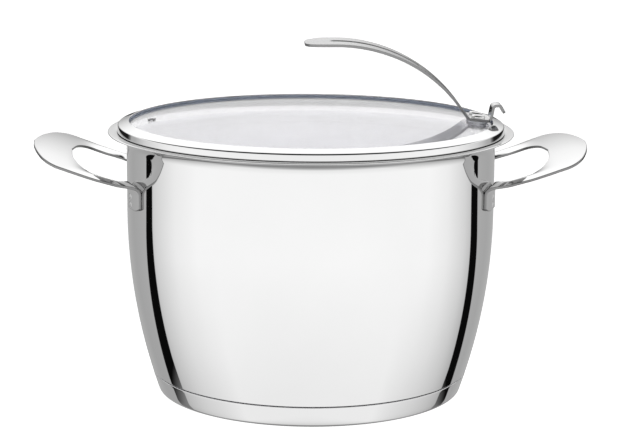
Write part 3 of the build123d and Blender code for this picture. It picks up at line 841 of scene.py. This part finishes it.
def ramp_node(nodes, links, source, stops, low, high):
    """A grey ramp of (place, brightness) stops over source's range low to high."""
    scaled = nodes.new("ShaderNodeMapRange")
    scaled.inputs["From Min"].default_value = low
    scaled.inputs["From Max"].default_value = high
    links.new(source, scaled.inputs["Value"])
    ramp = nodes.new("ShaderNodeValToRGB")
    elements = ramp.color_ramp.elements
    for i, (place, value) in enumerate(stops):
        position = (place - low) / (high - low)
        element = elements[i] if i < 2 else elements.new(position)
        element.position = position
        element.color = (value, value, value, 1)
    links.new(scaled.outputs["Result"], ramp.inputs["Fac"])
    return ramp.outputs["Color"]


def mix_node(nodes, links, factor, a, b):
    """A linear mix of two colours."""
    node = nodes.new("ShaderNodeMix")
    node.data_type = "RGBA"
    links.new(factor, node.inputs["Factor"])
    links.new(a, node.inputs["A"])
    links.new(b, node.inputs["B"])
    return node.outputs["Result"]


def grey_node(nodes, value):
    """A plain grey."""
    node = nodes.new("ShaderNodeRGB")
    node.outputs[0].default_value = (value, value, value, 1)
    return node.outputs[0]


def map_node(nodes, links, source, low, high, at_low, at_high):
    """source mapped from one range to another, held at the ends."""
    node = nodes.new("ShaderNodeMapRange")
    for key, value in (("From Min", low), ("From Max", high), ("To Min", at_low), ("To Max", at_high)):
        node.inputs[key].default_value = value
    links.new(source, node.inputs["Value"])
    return node.outputs["Result"]


def multiply_node(nodes, links, a, b):
    """The product of two colours."""
    node = nodes.new("ShaderNodeMix")
    node.data_type = "RGBA"
    node.blend_type = "MULTIPLY"
    node.inputs["Factor"].default_value = 1.0
    links.new(a, node.inputs["A"])
    links.new(b, node.inputs["B"])
    return node.outputs["Result"]


def scale_node(nodes, links, colour, factor):
    """A colour made brighter by a factor."""
    node = nodes.new("ShaderNodeVectorMath")
    node.operation = "SCALE"
    node.inputs["Scale"].default_value = factor
    links.new(colour, node.inputs[0])
    return node.outputs["Vector"]


def make_world():
    """A white product tent: bright front, two black flags, a grey rear below a soft box.

    It is no consistent room. Light reflected more than once sees one grey instead of the roof and the
    soft box, light through the glass sees even white, and the camera sees plain white.
    """
    world = bpy.data.worlds.new("studio")
    bpy.context.scene.world = world
    world.use_nodes = True
    nodes, links = world.node_tree.nodes, world.node_tree.links
    nodes.clear()
    coords = nodes.new("ShaderNodeTexCoord")
    parts = nodes.new("ShaderNodeSeparateXYZ")
    turned = nodes.new("ShaderNodeVectorRotate")
    turned.rotation_type = "Z_AXIS"
    turned.inputs["Angle"].default_value = PHOTO_TURN
    links.new(coords.outputs["Generated"], turned.inputs["Vector"])
    links.new(turned.outputs["Vector"], parts.inputs["Vector"])
    x, y, z = parts.outputs
    front = math_node(nodes, links, "MULTIPLY", y, -1.0)
    bearing = math_node(nodes, links, "MULTIPLY", math_node(nodes, links, "ARCTAN2", x, front), 180 / pi)
    height = math_node(nodes, links, "MULTIPLY", math_node(nodes, links, "ARCSINE", z), 180 / pi)
    aside = math_node(nodes, links, "ABSOLUTE", bearing)
    walls = ramp_node(nodes, links, bearing, WALL_STOPS, -180, 180)
    floor = ramp_node(nodes, links, bearing, FLOOR_STOPS, -180, 180)
    lower = mix_node(nodes, links, ramp_node(nodes, links, height, TO_FLOOR, -90, 90), walls, floor)
    near_foot = ramp_node(nodes, links, height, FOOT_SHADE, -90, 90)
    lower = multiply_node(nodes, links, lower, near_foot)
    rear = ramp_node(nodes, links, height, REAR_STOPS, -90, 90)
    top = ramp_node(nodes, links, height, FRONT_STOPS, -90, 90)
    behind = ramp_node(nodes, links, aside, REAR_SIDES, 0, 180)
    upper = mix_node(nodes, links, behind, top, rear)
    above = ramp_node(nodes, links, height, ABOVE_WALLS, -90, 90)
    tent = mix_node(nodes, links, above, lower, upper)
    for spread_out, half_width in (RIGHT_FLAG, LEFT_FLAG):
        centre = map_node(nodes, links, height, FLAG_LOW, FLAG_LEVEL, *spread_out)
        half = map_node(nodes, links, height, FLAG_LOW, FLAG_LEVEL, *half_width)
        off = math_node(nodes, links, "SUBTRACT", bearing, centre)
        off = math_node(nodes, links, "ABSOLUTE", off)
        inside = math_node(nodes, links, "SUBTRACT", half, off)
        inside = map_node(nodes, links, inside, -FLAG_SOFT, FLAG_SOFT, 0, 1)
        open_above = ramp_node(nodes, links, height, FLAG_HEIGHT, -90, 90)
        inside = math_node(nodes, links, "MULTIPLY", inside, open_above)
        tent = mix_node(nodes, links, inside, tent, grey_node(nodes, FLAG_BLACK))
    path = nodes.new("ShaderNodeLightPath")
    for bearings, heights in ((GAP_SIDES, GAP_HEIGHT), (SCREEN_SIDES, SCREEN_HEIGHT)):
        band = ramp_node(nodes, links, aside, bearings, 0, 180)
        level = ramp_node(nodes, links, height, heights, -90, 90)
        dark = math_node(nodes, links, "MULTIPLY", band, level)
        tent = mix_node(nodes, links, dark, tent, grey_node(nodes, SCREEN_BLACK))
    again = math_node(nodes, links, "GREATER_THAN", path.outputs["Ray Depth"], TWO_REFLECTIONS)
    roof = ramp_node(nodes, links, height, ROOF_LIFT, -90, 90)
    again = math_node(nodes, links, "MULTIPLY", again, roof)
    tent = mix_node(nodes, links, again, tent, grey_node(nodes, REPEAT_GREY))
    through_glass = math_node(nodes, links, "GREATER_THAN", path.outputs["Transmission Depth"], 0.5)
    tent = mix_node(nodes, links, through_glass, tent, grey_node(nodes, THROUGH_GLASS_GREY))
    tent = scale_node(nodes, links, tent, TENT_LIGHT)
    shown = mix_node(nodes, links, path.outputs["Is Camera Ray"], tent, grey_node(nodes, 1.0))
    background = nodes.new("ShaderNodeBackground")
    output = nodes.new("ShaderNodeOutputWorld")
    links.new(shown, background.inputs["Color"])
    links.new(background.outputs["Background"], output.inputs["Surface"])


def make_floor():
    """A white floor that glows a little and is left out of reflections, which see the tent."""
    bpy.ops.mesh.primitive_plane_add(size=12, location=(0, 0, -0.0002))
    floor = bpy.context.object
    floor.name = "floor"
    material, nodes, links, shader = new_material("floor_white")
    shader.inputs["Base Color"].default_value = (0.9, 0.9, 0.9, 1)
    shader.inputs["Roughness"].default_value = 0.9
    shader.inputs["Emission Color"].default_value = (1, 1, 1, 1)
    shader.inputs["Emission Strength"].default_value = 0.75
    floor.data.materials.append(material)
    floor.visible_glossy = False
    floor.visible_transmission = False


make_camera()
make_world()
make_floor()
bpy.context.scene.view_settings.view_transform = "Standard"

make_pot_body()
make_base_cap()
make_side_handle("handle_left", -1, "side_handle_left")
make_side_handle("handle_right", 1, "side_handle_right")
make_weld_spots()
make_lid_rim()
make_lid_seal()
make_lid_glass()
make_strap()

CAD_MATERIALS = {
    "heat_spreader": ALUMINIUM,
    "upper_gaskets": PALE_SILICONE,
    "lower_gaskets": PALE_SILICONE,
    # The vent eyelet takes the dark edge steel: painted shade, so the vent hole reads dark.
    "vent_eyelet": SHADED_EDGE_STEEL,
    "lid_screws": SATIN_STEEL,
    "lid_washers": SATIN_STEEL,
    "lid_nuts": SATIN_STEEL,
}
for node, material in CAD_MATERIALS.items():
    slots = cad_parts[node].data.materials
    slots.clear()
    slots.append(material)
